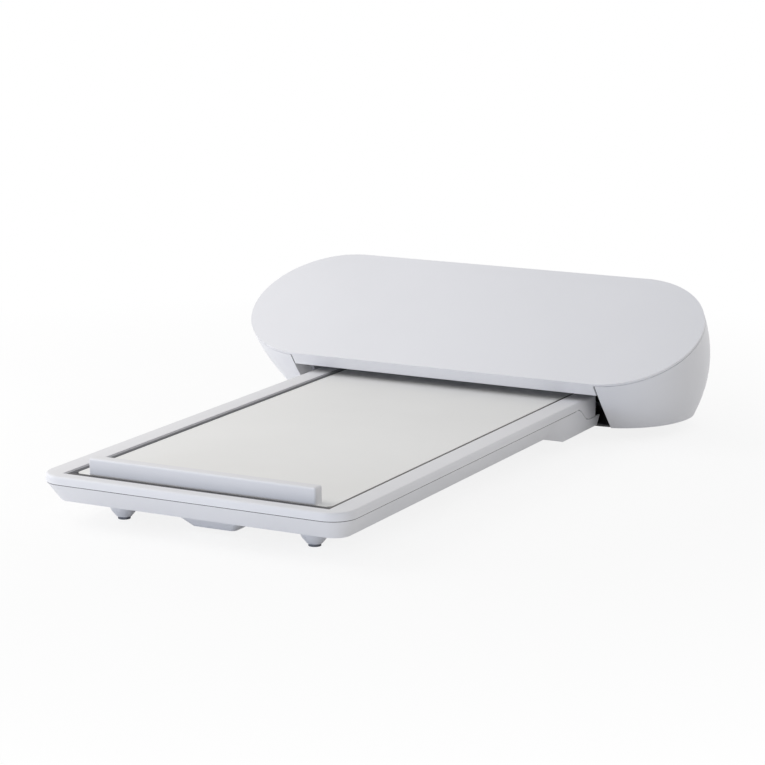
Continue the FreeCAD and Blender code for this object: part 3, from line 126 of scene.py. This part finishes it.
LOOKS = {
    "shell_white": dict(
        low=(227, 227, 230), high=(230, 230, 233), rough=(0.54, 0.6), patch=5, bump=0.03, gloss=0.3),
    "platen_white": dict(
        low=(234, 234, 233), high=(237, 237, 236), rough=(0.5, 0.56), patch=5, bump=0.01, gloss=0.3),
    "dark_plastic": dict(low=(54, 53, 56), high=(64, 63, 66), rough=(0.5, 0.65), bump=0.08),
    "guide_grey": dict(low=(146, 146, 151), high=(154, 154, 159), rough=(0.45, 0.55), bump=0.05),
    # Painted shadow: a darker copy of guide_grey for the right platen guide, standing for the shade in the
    # gap beside the platen
    "guide_painted_shadow": dict(low=(70, 66, 66), high=(78, 74, 74), rough=(0.5, 0.6), bump=0.05),
    "plate_grey": dict(low=(186, 186, 194), high=(194, 194, 202), rough=(0.5, 0.6), bump=0.04),
    "pad_grey": dict(low=(108, 110, 116), high=(118, 120, 126), rough=(0.7, 0.85), grain=1500, bump=0.2),
    "rubber_black": dict(low=(20, 20, 20), high=(32, 32, 32), rough=(0.75, 0.9), grain=1500, bump=0.2),
    "steel": dict(
        low=(168, 170, 172), high=(188, 190, 193), rough=(0.3, 0.45), metallic=1, stretch=(1, 1, 12)),
    "aluminium": dict(
        low=(190, 192, 195), high=(208, 210, 212), rough=(0.28, 0.4), metallic=1, stretch=(1, 14, 14)),
    "belt_rubber": dict(low=(22, 22, 23), high=(34, 34, 35), rough=(0.7, 0.85), bump=0.15),
    "gear_plastic": dict(low=(214, 211, 200), high=(226, 223, 213), rough=(0.4, 0.5)),
    "board_green": dict(low=(18, 74, 44), high=(28, 98, 58), rough=(0.3, 0.45), patch=160, bump=0.1),
    "motor_black": dict(low=(26, 26, 28), high=(38, 38, 41), rough=(0.35, 0.5), coat=0.2),
    "tool_grey": dict(low=(112, 114, 119), high=(124, 126, 131), rough=(0.45, 0.58), bump=0.06),
    "brass_bush": dict(low=(176, 132, 62), high=(200, 156, 84), rough=(0.3, 0.42), metallic=1),
    "jack_black": dict(low=(18, 18, 19), high=(28, 28, 29), rough=(0.4, 0.55)),
    "button_grey": dict(low=(136, 138, 143), high=(148, 150, 155), rough=(0.4, 0.5)),
}
MATERIALS = {name: material(name, **look) for name, look in LOOKS.items()}

# Solids whose colour differs from the rest of their slot; the right platen guide's dark colour is painted
# shadow of the gap beside the platen
OWN_COLOURS_AND_PAINTED_SHADOW = {
    "right_platen_guide": "guide_painted_shadow",
    "front_foot_pads": "pad_grey",
    "left_side_plate": "plate_grey",
    "right_side_plate": "plate_grey",
}


def dress_solids():
    """Gives every solid its slot's material, or its own colour, which for the right platen guide is painted
    shadow, and smooth shading up to real edges.
    """
    slot_of = {part["node"]: part["material_slot"] for part in frame["record"]["subparts"]}
    slot_of.update(OWN_COLOURS_AND_PAINTED_SHADOW)
    for name, solid in frame["nodes"].items():
        solid.data.materials.clear()
        solid.data.materials.append(MATERIALS[slot_of[name]])
        weld = solid.modifiers.new("weld", "WELD")
        weld.merge_threshold = WELD_REACH
        split = solid.modifiers.new("real_edges", "EDGE_SPLIT")
        split.split_angle = SMOOTH_ANGLE
        solid.data.shade_smooth()


# Building pieces

TURN_STEPS = 24


def add_piece(name, shape, slot, body):
    """Makes a named piece of a finished shape, with a slot's finish, carried by a body."""
    bmesh.ops.recalc_face_normals(shape, faces=shape.faces)
    mesh = bpy.data.meshes.new(name)
    shape.to_mesh(mesh)
    shape.free()
    mesh.transform(Matrix.Scale(MM, 4))
    mesh.materials.append(MATERIALS[slot])
    mesh.shade_smooth()
    piece = bpy.data.objects.new(name, mesh)
    bpy.context.scene.collection.objects.link(piece)
    split = piece.modifiers.new("real_edges", "EDGE_SPLIT")
    split.split_angle = SMOOTH_ANGLE
    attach(piece, body)
    return piece


def middle(node):
    """The middle of a solid's box, in millimetres."""
    low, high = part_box(node)
    return (Vector(low) + Vector(high)) / 2 / MM


def corner(node, which):
    """The low (0) or high (1) corner of a solid's box, in millimetres."""
    return Vector(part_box(node)[which]) / MM


def bridge(shape, rings, closed=False):
    """Joins rings of points in order. A closed row runs back to its first ring, an open one gets caps."""
    made = [[shape.verts.new(point) for point in ring] for ring in rings]
    next_rings = made[1:] + made[:1] if closed else made[1:]
    for ring, following in zip(made, next_rings):
        for index in range(len(ring)):
            after = (index + 1) % len(ring)
            shape.faces.new((ring[index], ring[after], following[after], following[index]))
    if not closed:
        shape.faces.new(made[0])
        shape.faces.new(made[-1])


def turn_profile(shape, place, axis, profile, steps=TURN_STEPS):
    """Turns (radius, height) pairs about an axis. A radius may be a function of the angle."""
    upright = Vector(UP).rotation_difference(Vector(axis)).to_matrix()
    rings = []
    for radius, height in profile:
        ring = []
        for step in range(steps):
            angle = 2 * math.pi * step / steps
            reach = radius(angle) if callable(radius) else radius
            point = Vector((reach * math.cos(angle), reach * math.sin(angle), height))
            ring.append(Vector(place) + upright @ point)
        rings.append(ring)
    bridge(shape, rings)


def plate(shape, outline, place, along):
    """A flat plate: an outline of points in the frame, pulled along a vector."""
    low = [Vector(place) + Vector(point) for point in outline]
    bridge(shape, [low, [point + Vector(along) for point in low]])


def knurled(outer, ridges, depth):
    """The radius of a gripping edge with ridges."""
    return lambda angle: outer - depth * (0.5 - 0.5 * math.cos(ridges * angle))


# Screws

COVER_SCREW = 3.2
SMALL_SCREW = 2.2
ARM_SHARE = 0.2
FLOOR_INNER = 0.45
FLOOR_OUTER = 0.86
FLOOR_FRONT_INSET = 12
FLOOR_BACK_INSET = 14
BED_SCREW_ACROSS = 0.62
BED_SCREW_FRONT = -250
BED_SCREW_PITCH = 140
BED_SCREW_ROWS = 3
PANEL_SCREW_INSET = 8
MOTOR_SCREW_REACH = 13
BRACKET_THICK = 2


def four_arms(arm, core):
    """The radius of a cross-shaped recess."""
    quarter = math.pi / 2

    def radius(angle):
        from_arm = abs((angle + quarter / 2) % quarter - quarter / 2)
        return arm if from_arm < quarter * ARM_SHARE else core

    return radius


def screw(shape, place, axis, radius):
    """A pan-head screw with a cross recess, its head standing on a surface, in shares of its radius."""
    edge_height = 0.35 * radius
    crown, crown_height = 0.8 * radius, 0.6 * radius
    mouth, mouth_height = four_arms(0.6 * radius, 0.2 * radius), 0.62 * radius
    floor, floor_height = four_arms(0.5 * radius, 0.15 * radius), 0.15 * radius
    turn_profile(shape, place, axis, [
        (radius, 0), (radius, edge_height), (crown, crown_height),
        (mouth, mouth_height), (floor, floor_height),
    ])


def screws(name, places, axis, radius):
    """One piece of equal screws on the base."""
    shape = bmesh.new()
    for place in places:
        screw(shape, place, axis, radius)
    add_piece(name, shape, "steel", "base")


def floor_screws():
    """The screws under the head: three pairs, and a single one near each end."""
    low, high = corner("chassis_base", 0), corner("chassis_base", 1)
    front, back = low.y + FLOOR_FRONT_INSET, high.y - FLOOR_BACK_INSET
    pairs = [share * high.x for share in (-FLOOR_INNER, 0, FLOOR_INNER)]
    ends = [share * high.x for share in (-FLOOR_OUTER, FLOOR_OUTER)]
    places = [(x, y, low.z) for x in pairs for y in (front, back)]
    places += [(x, (front + back) / 2, low.z) for x in ends]
    screws("floor_screws", places, DOWN, COVER_SCREW)


def bed_screws():
    """The screws under the bed, in a row on each side."""
    across = corner("bed_bottom_cover", 1).x * BED_SCREW_ACROSS
    belly = corner("left_front_foot", 1).z
    rows = [BED_SCREW_FRONT + BED_SCREW_PITCH * row for row in range(BED_SCREW_ROWS)]
    places = [(side * across, y, belly) for side in SIDES.values() for y in rows]
    screws("bed_screws", places, DOWN, COVER_SCREW)


def panel_screws():
    """The two screws at the ends of the port panel."""
    low, high = corner("port_panel", 0), corner("port_panel", 1)
    level = middle("power_button").z
    places = [(x, high.y, level) for x in (low.x + PANEL_SCREW_INSET, high.x - PANEL_SCREW_INSET)]
    screws("panel_screws", places, TO_BACK, SMALL_SCREW)


def motor_screws(name, centre, axis):
    """Four screws round a motor's shaft, in the plane across its axis."""
    across = Vector(UP) * MOTOR_SCREW_REACH
    beside = Vector(axis).cross(across)
    places = [Vector(centre) + beside * u + across * v for u in (-1, 1) for v in (-1, 1)]
    screws(name, places, axis, SMALL_SCREW)


def both_motor_screws():
    """The screws that hold both motors to their brackets."""
    drive = middle("carriage_motor")
    face = corner("carriage_motor", 0).y - BRACKET_THICK
    motor_screws("carriage_motor_screws", (drive.x, face, drive.z), TO_FRONT)
    feed = middle("feed_motor")
    side = corner("feed_motor_bracket", 1).x
    motor_screws("feed_motor_screws", (side, feed.y, feed.z), TO_RIGHT)


# Painted shadow strip in the bed's seam

BED_CORNER = 28
CORNER_STEPS = 12
SEAM_TALL = 0.8
SEAM_INSET = 0.55
SEAM_DEEP = 0.65
SEAM_END = 170


def seam_line(inset):
    """The bed's outline at the seam, from the right side round the front to the left side."""
    bed_front, bed_side = corner("bed_top_cover", 0).y, corner("bed_top_cover", 1).x
    reach = BED_CORNER - inset
    centre = Vector((bed_side - BED_CORNER, bed_front + BED_CORNER, 0))
    half = [Vector((bed_side - inset, SEAM_END, 0))]
    for step in range(CORNER_STEPS + 1):
        turn = -math.pi / 2 * step / CORNER_STEPS
        half.append(centre + reach * Vector((math.cos(turn), math.sin(turn), 0)))
    return half + [Vector((-point.x, point.y, 0)) for point in reversed(half)]


def seam_shadow_strip():
    """A dark strip in the groove between the bed's rim and its tub: painted shadow that darkens the seam
    line.
    """
    top = Vector((0, 0, corner("bed_bottom_cover", 1).z))
    bottom = top - Vector((0, 0, SEAM_TALL))
    shape = bmesh.new()
    bridge(shape, [
        (outer + bottom, outer + top, inner + top, inner + bottom)
        for outer, inner in zip(seam_line(SEAM_INSET), seam_line(SEAM_INSET + SEAM_DEEP))
    ])
    # The strip's dark colour is painted shadow in the groove
    add_piece("bed_seam_shadow_strip", shape, "dark_plastic", "base")


# Timing belts

BELT_THICK = 1.5
TOOTH_RISE = 0.7
TOOTH_PITCH = 3
TOOTH_STEPS = 4


def loop_points(first, second, count):
    """Points and outward directions along a belt round two pulleys, each (u, v, radius), evenly spaced."""
    (u_a, v_a, r_a), (u_b, v_b, r_b) = first, second
    run = math.hypot(u_b - u_a, v_b - v_a)
    heading = math.atan2(v_b - v_a, u_b - u_a)
    tilt = math.acos((r_a - r_b) / run)
    straight = run * math.sin(tilt)
    lengths = (r_a * 2 * (math.pi - tilt), straight, r_b * 2 * tilt, straight)
    points = []
    for index in range(count):
        along = sum(lengths) * index / count
        part = 0
        while along > lengths[part]:
            along -= lengths[part]
            part += 1
        wheel, slide = first, 0
        if part == 0:
            turn = heading + tilt + along / r_a
        elif part == 1:
            turn = heading - tilt
            slide = along
        elif part == 2:
            turn = heading - tilt + along / r_b
            wheel = second
        else:
            turn = heading + tilt
            slide = straight - along
        out = Vector((math.cos(turn), math.sin(turn)))
        forward = Vector((-out.y, out.x)) if part == 1 else Vector((out.y, -out.x))
        points.append((Vector(wheel[:2]) + out * wheel[2] + forward * slide, out))
    return points


def toothed_belt(name, node, first, second, to_frame):
    """A timing belt with teeth on its inside, in the place of the plain loop."""
    length = 2 * math.dist(first[:2], second[:2]) + math.pi * (first[2] + second[2])
    samples = TOOTH_STEPS * round(length / TOOTH_PITCH)
    rings = []
    for index, (point, out) in enumerate(loop_points(first, second, samples)):
        on_tooth = index % TOOTH_STEPS < TOOTH_STEPS / 2
        inner = point if on_tooth else point + out * TOOTH_RISE
        outer = point + out * BELT_THICK
        rings.append([to_frame(inner, 0), to_frame(inner, 1), to_frame(outer, 1), to_frame(outer, 0)])
    shape = bmesh.new()
    bridge(shape, rings, closed=True)
    belt = add_piece(name, shape, "belt_rubber", "base")
    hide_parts(node)


def feed_belt():
    """The belt beside the platen, from the feed motor to the feed shaft."""
    low, high = corner("feed_belt", 0), corner("feed_belt", 1)
    shaft, motor = middle("feed_pulley"), middle("feed_motor_pulley")
    shaft_wheel = (shaft.y, shaft.z, shaft.y - low.y - BELT_THICK)
    motor_wheel = (motor.y, motor.z, high.y - motor.y - BELT_THICK)

    def to_frame(point, share):
        return Vector((low.x + (high.x - low.x) * share, point.x, point.y))

    toothed_belt("feed_timing_belt", "feed_belt", shaft_wheel, motor_wheel, to_frame)


def carriage_belt():
    """The belt behind the rail, from the carriage motor to the idler."""
    low, high = corner("carriage_belt", 0), corner("carriage_belt", 1)
    radius = (high.z - low.z) / 2 - BELT_THICK
    level = (high.z + low.z) / 2
    reach = high.x - radius - BELT_THICK
    idler_wheel = (-reach, level, radius)
    drive_wheel = (reach, level, radius)

    def to_frame(point, share):
        return Vector((point.x, low.y + (high.y - low.y) * share, point.y))

    toothed_belt("carriage_timing_belt", "carriage_belt", idler_wheel, drive_wheel, to_frame)


# Tools

RIDGE_STEPS = 6
GRIP_LIFT = 0.4
GRIP_SEAT = 0.1
GRIP_OUT = 1
GRIP_RIDGES = 24
GRIP_RIDGE_DEPTH = 0.8
GRIP_TALL = 5.2
GRIP_LOW_BEVEL = 0.6
GRIP_TOP_BEVEL = 0.8
KNOB_NECK = 2.5
KNOB_NECK_LONG = 2
KNOB_RADIUS = 5.6
KNOB_RIDGES = 16
KNOB_RIDGE_DEPTH = 0.7
KNOB_LONG = 7.2
KNOB_BEVEL = 0.6
KNOB_CROWN = 0.2
KNOB_SHOULDER = 1
KNOB_FLAT = 2
TIP_COLLAR = 1.6
TIP_SHANK = 0.5
TIP_POINT = 0.12
TIP_LONG = 0.7
TIP_BEVEL = 0.2


def cartridge_grip(side, centre, cap):
    """The ridged ring round a cartridge, just above its holder."""
    seat = cap + GRIP_SEAT
    ridged = knurled(cap + GRIP_OUT, GRIP_RIDGES, GRIP_RIDGE_DEPTH)
    place = (centre.x, centre.y, corner(f"{side}_tool_holder", 1).z + GRIP_LIFT)
    shape = bmesh.new()
    turn_profile(shape, place, UP, [
        (seat, 0), (ridged, GRIP_LOW_BEVEL), (ridged, GRIP_TALL - GRIP_TOP_BEVEL), (seat, GRIP_TALL),
    ], GRIP_RIDGES * RIDGE_STEPS)
    add_piece(f"{side}_cartridge_grip", shape, "dark_plastic", f"{side}_tool")


def clamp_knob(side, centre):
    """The ridged knob on the front of a holder, on a short neck."""
    ridged = knurled(KNOB_RADIUS, KNOB_RIDGES, KNOB_RIDGE_DEPTH)
    crown_start = KNOB_LONG - KNOB_CROWN
    place = (centre.x, corner(f"{side}_tool_holder", 0).y, middle(f"{side}_tool_holder").z)
    shape = bmesh.new()
    turn_profile(shape, place, TO_FRONT, [
        (KNOB_NECK, 0), (KNOB_NECK, KNOB_NECK_LONG),
        (KNOB_RADIUS - KNOB_BEVEL, KNOB_NECK_LONG), (ridged, KNOB_NECK_LONG + KNOB_BEVEL),
        (ridged, crown_start - KNOB_BEVEL), (KNOB_RADIUS - KNOB_SHOULDER, crown_start),
        (KNOB_FLAT, KNOB_LONG),
    ], KNOB_RIDGES * RIDGE_STEPS)
    add_piece(f"{side}_clamp_knob", shape, "dark_plastic", f"{side}_tool")


def blade_tip(side, centre, end):
    """The steel point under a cartridge."""
    shape = bmesh.new()
    turn_profile(shape, (centre.x, centre.y, end), DOWN, [
        (TIP_COLLAR, 0), (TIP_COLLAR - TIP_BEVEL, TIP_BEVEL),
        (TIP_SHANK, TIP_LONG - TIP_BEVEL), (TIP_POINT, TIP_LONG),
    ])
    add_piece(f"{side}_blade_tip", shape, "steel", f"{side}_tool")


def tools():
    """Grips, clamp knobs and blade tips of the two tools."""
    for side in SIDES:
        low, high = corner(f"{side}_blade_cartridge", 0), corner(f"{side}_blade_cartridge", 1)
        centre = (low + high) / 2
        cartridge_grip(side, centre, (high.x - low.x) / 2)
        clamp_knob(side, centre)
        blade_tip(side, centre, low.z)


# Ports and power button

PORT_FLOOR = 1.2
PIN_RADIUS = 1.05
PIN_SETBACK = 1.7
PIN_NOSE = 0.9
PIN_NECK = 0.8
PIN_TIP = 0.3
TONGUE_HALF = 2.9
TONGUE_THICK = 3.2
TONGUE_BEVEL = 0.5
TONGUE_SETBACK = 2
CONTACT_PLACE = 1.4
CONTACT_HALF = 0.5
CONTACT_RISE = 0.06
CONTACT_SHORT = 1
RING_INNER = 6.5
RING_OUTER = 8.6
RING_TALL = 0.9
RING_BEVEL = 0.5
RING_BEVEL_TALL = 0.4
RING_STEPS = 48


def jack_pin():
    """The pin in the middle of the power jack."""
    jack = middle("power_jack")
    inner = corner("power_jack", 0).y + PORT_FLOOR
    end = corner("power_jack", 1).y - inner - PIN_SETBACK
    shape = bmesh.new()
    turn_profile(shape, (jack.x, inner, jack.z), TO_BACK, [
        (PIN_RADIUS, 0), (PIN_RADIUS, end - PIN_NOSE), (PIN_NECK, end - PIN_TIP), (PIN_TIP, end),
    ])
    add_piece("jack_pin", shape, "steel", "base")


def data_tongue():
    """The data port's tongue, with its corners cut at the top, and two contacts above and below it."""
    port = middle("data_port")
    inner = corner("data_port", 0).y + PORT_FLOOR
    long = corner("data_port", 1).y - inner - TONGUE_SETBACK
    shoulder, flat = TONGUE_THICK - TONGUE_BEVEL, TONGUE_HALF - TONGUE_BEVEL
    outline = [
        (-TONGUE_HALF, 0, 0), (TONGUE_HALF, 0, 0), (TONGUE_HALF, 0, shoulder),
        (flat, 0, TONGUE_THICK), (-flat, 0, TONGUE_THICK), (-TONGUE_HALF, 0, shoulder),
    ]
    tongue = bmesh.new()
    plate(tongue, outline, (port.x, inner, port.z - TONGUE_THICK / 2), (0, long, 0))
    add_piece("data_tongue", tongue, "jack_black", "base")
    strip = [
        (-CONTACT_HALF, 0, -CONTACT_RISE), (CONTACT_HALF, 0, -CONTACT_RISE),
        (CONTACT_HALF, 0, CONTACT_RISE), (-CONTACT_HALF, 0, CONTACT_RISE),
    ]
    contacts = bmesh.new()
    for side in (-1, 1):
        for level in (-1, 1):
            place = (port.x + side * CONTACT_PLACE, inner, port.z + level * (TONGUE_THICK / 2 + CONTACT_RISE))
            plate(contacts, strip, place, (0, long - CONTACT_SHORT, 0))
    add_piece("data_contacts", contacts, "brass_bush", "base")


def button_ring():
    """The bevelled ring round the power button."""
    button = middle("power_button")
    panel = corner("port_panel", 1).y
    shoulder = RING_TALL - RING_BEVEL_TALL
    profile = [
        (RING_INNER, 0), (RING_OUTER, 0), (RING_OUTER, shoulder),
        (RING_OUTER - RING_BEVEL, RING_TALL), (RING_INNER + RING_BEVEL, RING_TALL), (RING_INNER, shoulder),
    ]
    sections = []
    for step in range(RING_STEPS):
        angle = 2 * math.pi * step / RING_STEPS
        across, up = math.cos(angle), math.sin(angle)
        sections.append([
            (button.x + radius * across, panel + height, button.z + radius * up) for radius, height in profile
        ])
    shape = bmesh.new()
    bridge(shape, sections, closed=True)
    add_piece("button_ring", shape, "button_grey", "base")


# Camera, light and floor

CAMERA_PLACE = (1.398268, -2.640706, 0.736024)
CAMERA_YAW = 27.627
CAMERA_PITCH = 12.117
CAMERA_LENS = 125.15
CAMERA_SENSOR = 36
CAMERA_RANGE = 50
WORLD_LIGHT = 0.55
WORLD_SEEN = 1
FLOOR_REACH = 30
FLOOR_TONE = 0.92
FADE_FROM = 0.45
FADE_TO = 1.1
GLOW_NEAR = 0.85
GLOW_FAR = 1


def make_camera():
    """The camera that took the photo, as fitted to it."""
    data = bpy.data.cameras.new("camera")
    data.lens = CAMERA_LENS
    data.sensor_width = CAMERA_SENSOR
    data.clip_end = CAMERA_RANGE
    camera = bpy.data.objects.new("camera", data)
    camera.location = CAMERA_PLACE
    camera.rotation_euler = (math.radians(90 - CAMERA_PITCH), 0, math.radians(CAMERA_YAW))
    bpy.context.scene.collection.objects.link(camera)
    bpy.context.scene.camera = camera


def area_light(name, place, target, wide, tall, power, colour):
    """A rectangular lamp that faces a target and isn't seen itself."""
    data = bpy.data.lights.new(name, "AREA")
    data.shape = "RECTANGLE"
    data.size = wide
    data.size_y = tall
    data.energy = power
    data.color = colour
    light = bpy.data.objects.new(name, data)
    light.location = place
    light.rotation_euler = (Vector(target) - Vector(place)).to_track_quat("-Z", "Y").to_euler()
    light.visible_camera = False
    bpy.context.scene.collection.objects.link(light)


def seen_directly(nodes, links):
    """One where a ray comes from the camera, a mirror-like surface or glass, otherwise nought."""
    path = nodes.new("ShaderNodeLightPath")
    either = nodes.new("ShaderNodeMath")
    either.operation = "MAXIMUM"
    links.new(path.outputs["Is Camera Ray"], either.inputs[0])
    links.new(path.outputs["Is Glossy Ray"], either.inputs[1])
    any_of_three = nodes.new("ShaderNodeMath")
    any_of_three.operation = "MAXIMUM"
    links.new(either.outputs["Value"], any_of_three.inputs[0])
    links.new(path.outputs["Is Transmission Ray"], any_of_three.inputs[1])
    return any_of_three.outputs["Value"]


def make_world():
    """White where it is seen, softer where it only lights."""
    world = bpy.data.worlds.new("studio")
    bpy.context.scene.world = world
    world.use_nodes = True
    nodes, links = world.node_tree.nodes, world.node_tree.links
    strength = nodes.new("ShaderNodeMapRange")
    strength.inputs["To Min"].default_value = WORLD_LIGHT
    strength.inputs["To Max"].default_value = WORLD_SEEN
    links.new(seen_directly(nodes, links), strength.inputs["Value"])
    links.new(strength.outputs["Result"], nodes["Background"].inputs["Strength"])
    nodes["Background"].inputs["Color"].default_value = (1, 1, 1, 1)


def make_floor():
    """A pale floor that keeps a soft shadow and fades to white."""
    data = bpy.data.meshes.new("floor")
    reach = FLOOR_REACH
    corners = [(-reach, -reach, 0), (reach, -reach, 0), (reach, reach, 0), (-reach, reach, 0)]
    data.from_pydata(corners, [], [(0, 1, 2, 3)])
    floor = bpy.data.objects.new("floor", data)
    bpy.context.scene.collection.objects.link(floor)
    paint = bpy.data.materials.new("floor")
    paint.use_nodes = True
    nodes, links = paint.node_tree.nodes, paint.node_tree.links
    shade = nodes["Principled BSDF"]
    shade.inputs["Base Color"].default_value = (FLOOR_TONE, FLOOR_TONE, FLOOR_TONE, 1)
    shade.inputs["Roughness"].default_value = 1
    glow = nodes.new("ShaderNodeEmission")
    place = nodes.new("ShaderNodeTexCoord")
    away = nodes.new("ShaderNodeVectorMath")
    away.operation = "LENGTH"
    links.new(place.outputs["Object"], away.inputs[0])
    fade = nodes.new("ShaderNodeMapRange")
    fade.inputs["From Min"].default_value = FADE_FROM
    fade.inputs["From Max"].default_value = FADE_TO
    fade.inputs["To Min"].default_value = GLOW_NEAR
    fade.inputs["To Max"].default_value = GLOW_FAR
    links.new(away.outputs["Value"], fade.inputs["Value"])
    share = nodes.new("ShaderNodeMath")
    share.operation = "MULTIPLY"
    links.new(fade.outputs["Result"], share.inputs[0])
    links.new(seen_directly(nodes, links), share.inputs[1])
    mix = nodes.new("ShaderNodeMixShader")
    links.new(share.outputs["Value"], mix.inputs["Fac"])
    links.new(shade.outputs["BSDF"], mix.inputs[1])
    links.new(glow.outputs["Emission"], mix.inputs[2])
    links.new(mix.outputs["Shader"], nodes["Material Output"].inputs["Surface"])
    data.materials.append(paint)


def make_studio():
    """The camera, the white surroundings and three lamps: warm from the left, cool in front, small behind."""
    make_camera()
    make_world()
    make_floor()
    area_light("key", place=(-1.0, -0.45, 0.8), target=(0, 0, 0.1), wide=0.9, tall=0.9, power=8.2,
               colour=(1, 0.975, 0.94))
    area_light("fill", place=(-1.6, -8, 0.9), target=(0, -0.2, 0.05), wide=3.6, tall=1.2, power=165,
               colour=(0.7, 0.8, 1))
    area_light("rim", place=(0.9, 1.8, 0.5), target=(0.28, 0.25, 0.08), wide=0.8, tall=0.8, power=5.5,
               colour=(1, 1, 1))
    bpy.context.scene.view_settings.view_transform = "Standard"


dress_solids()
floor_screws()
bed_screws()
panel_screws()
seam_shadow_strip()
feed_belt()
carriage_belt()
tools()
jack_pin()
data_tongue()
button_ring()
both_motor_screws()
make_studio()
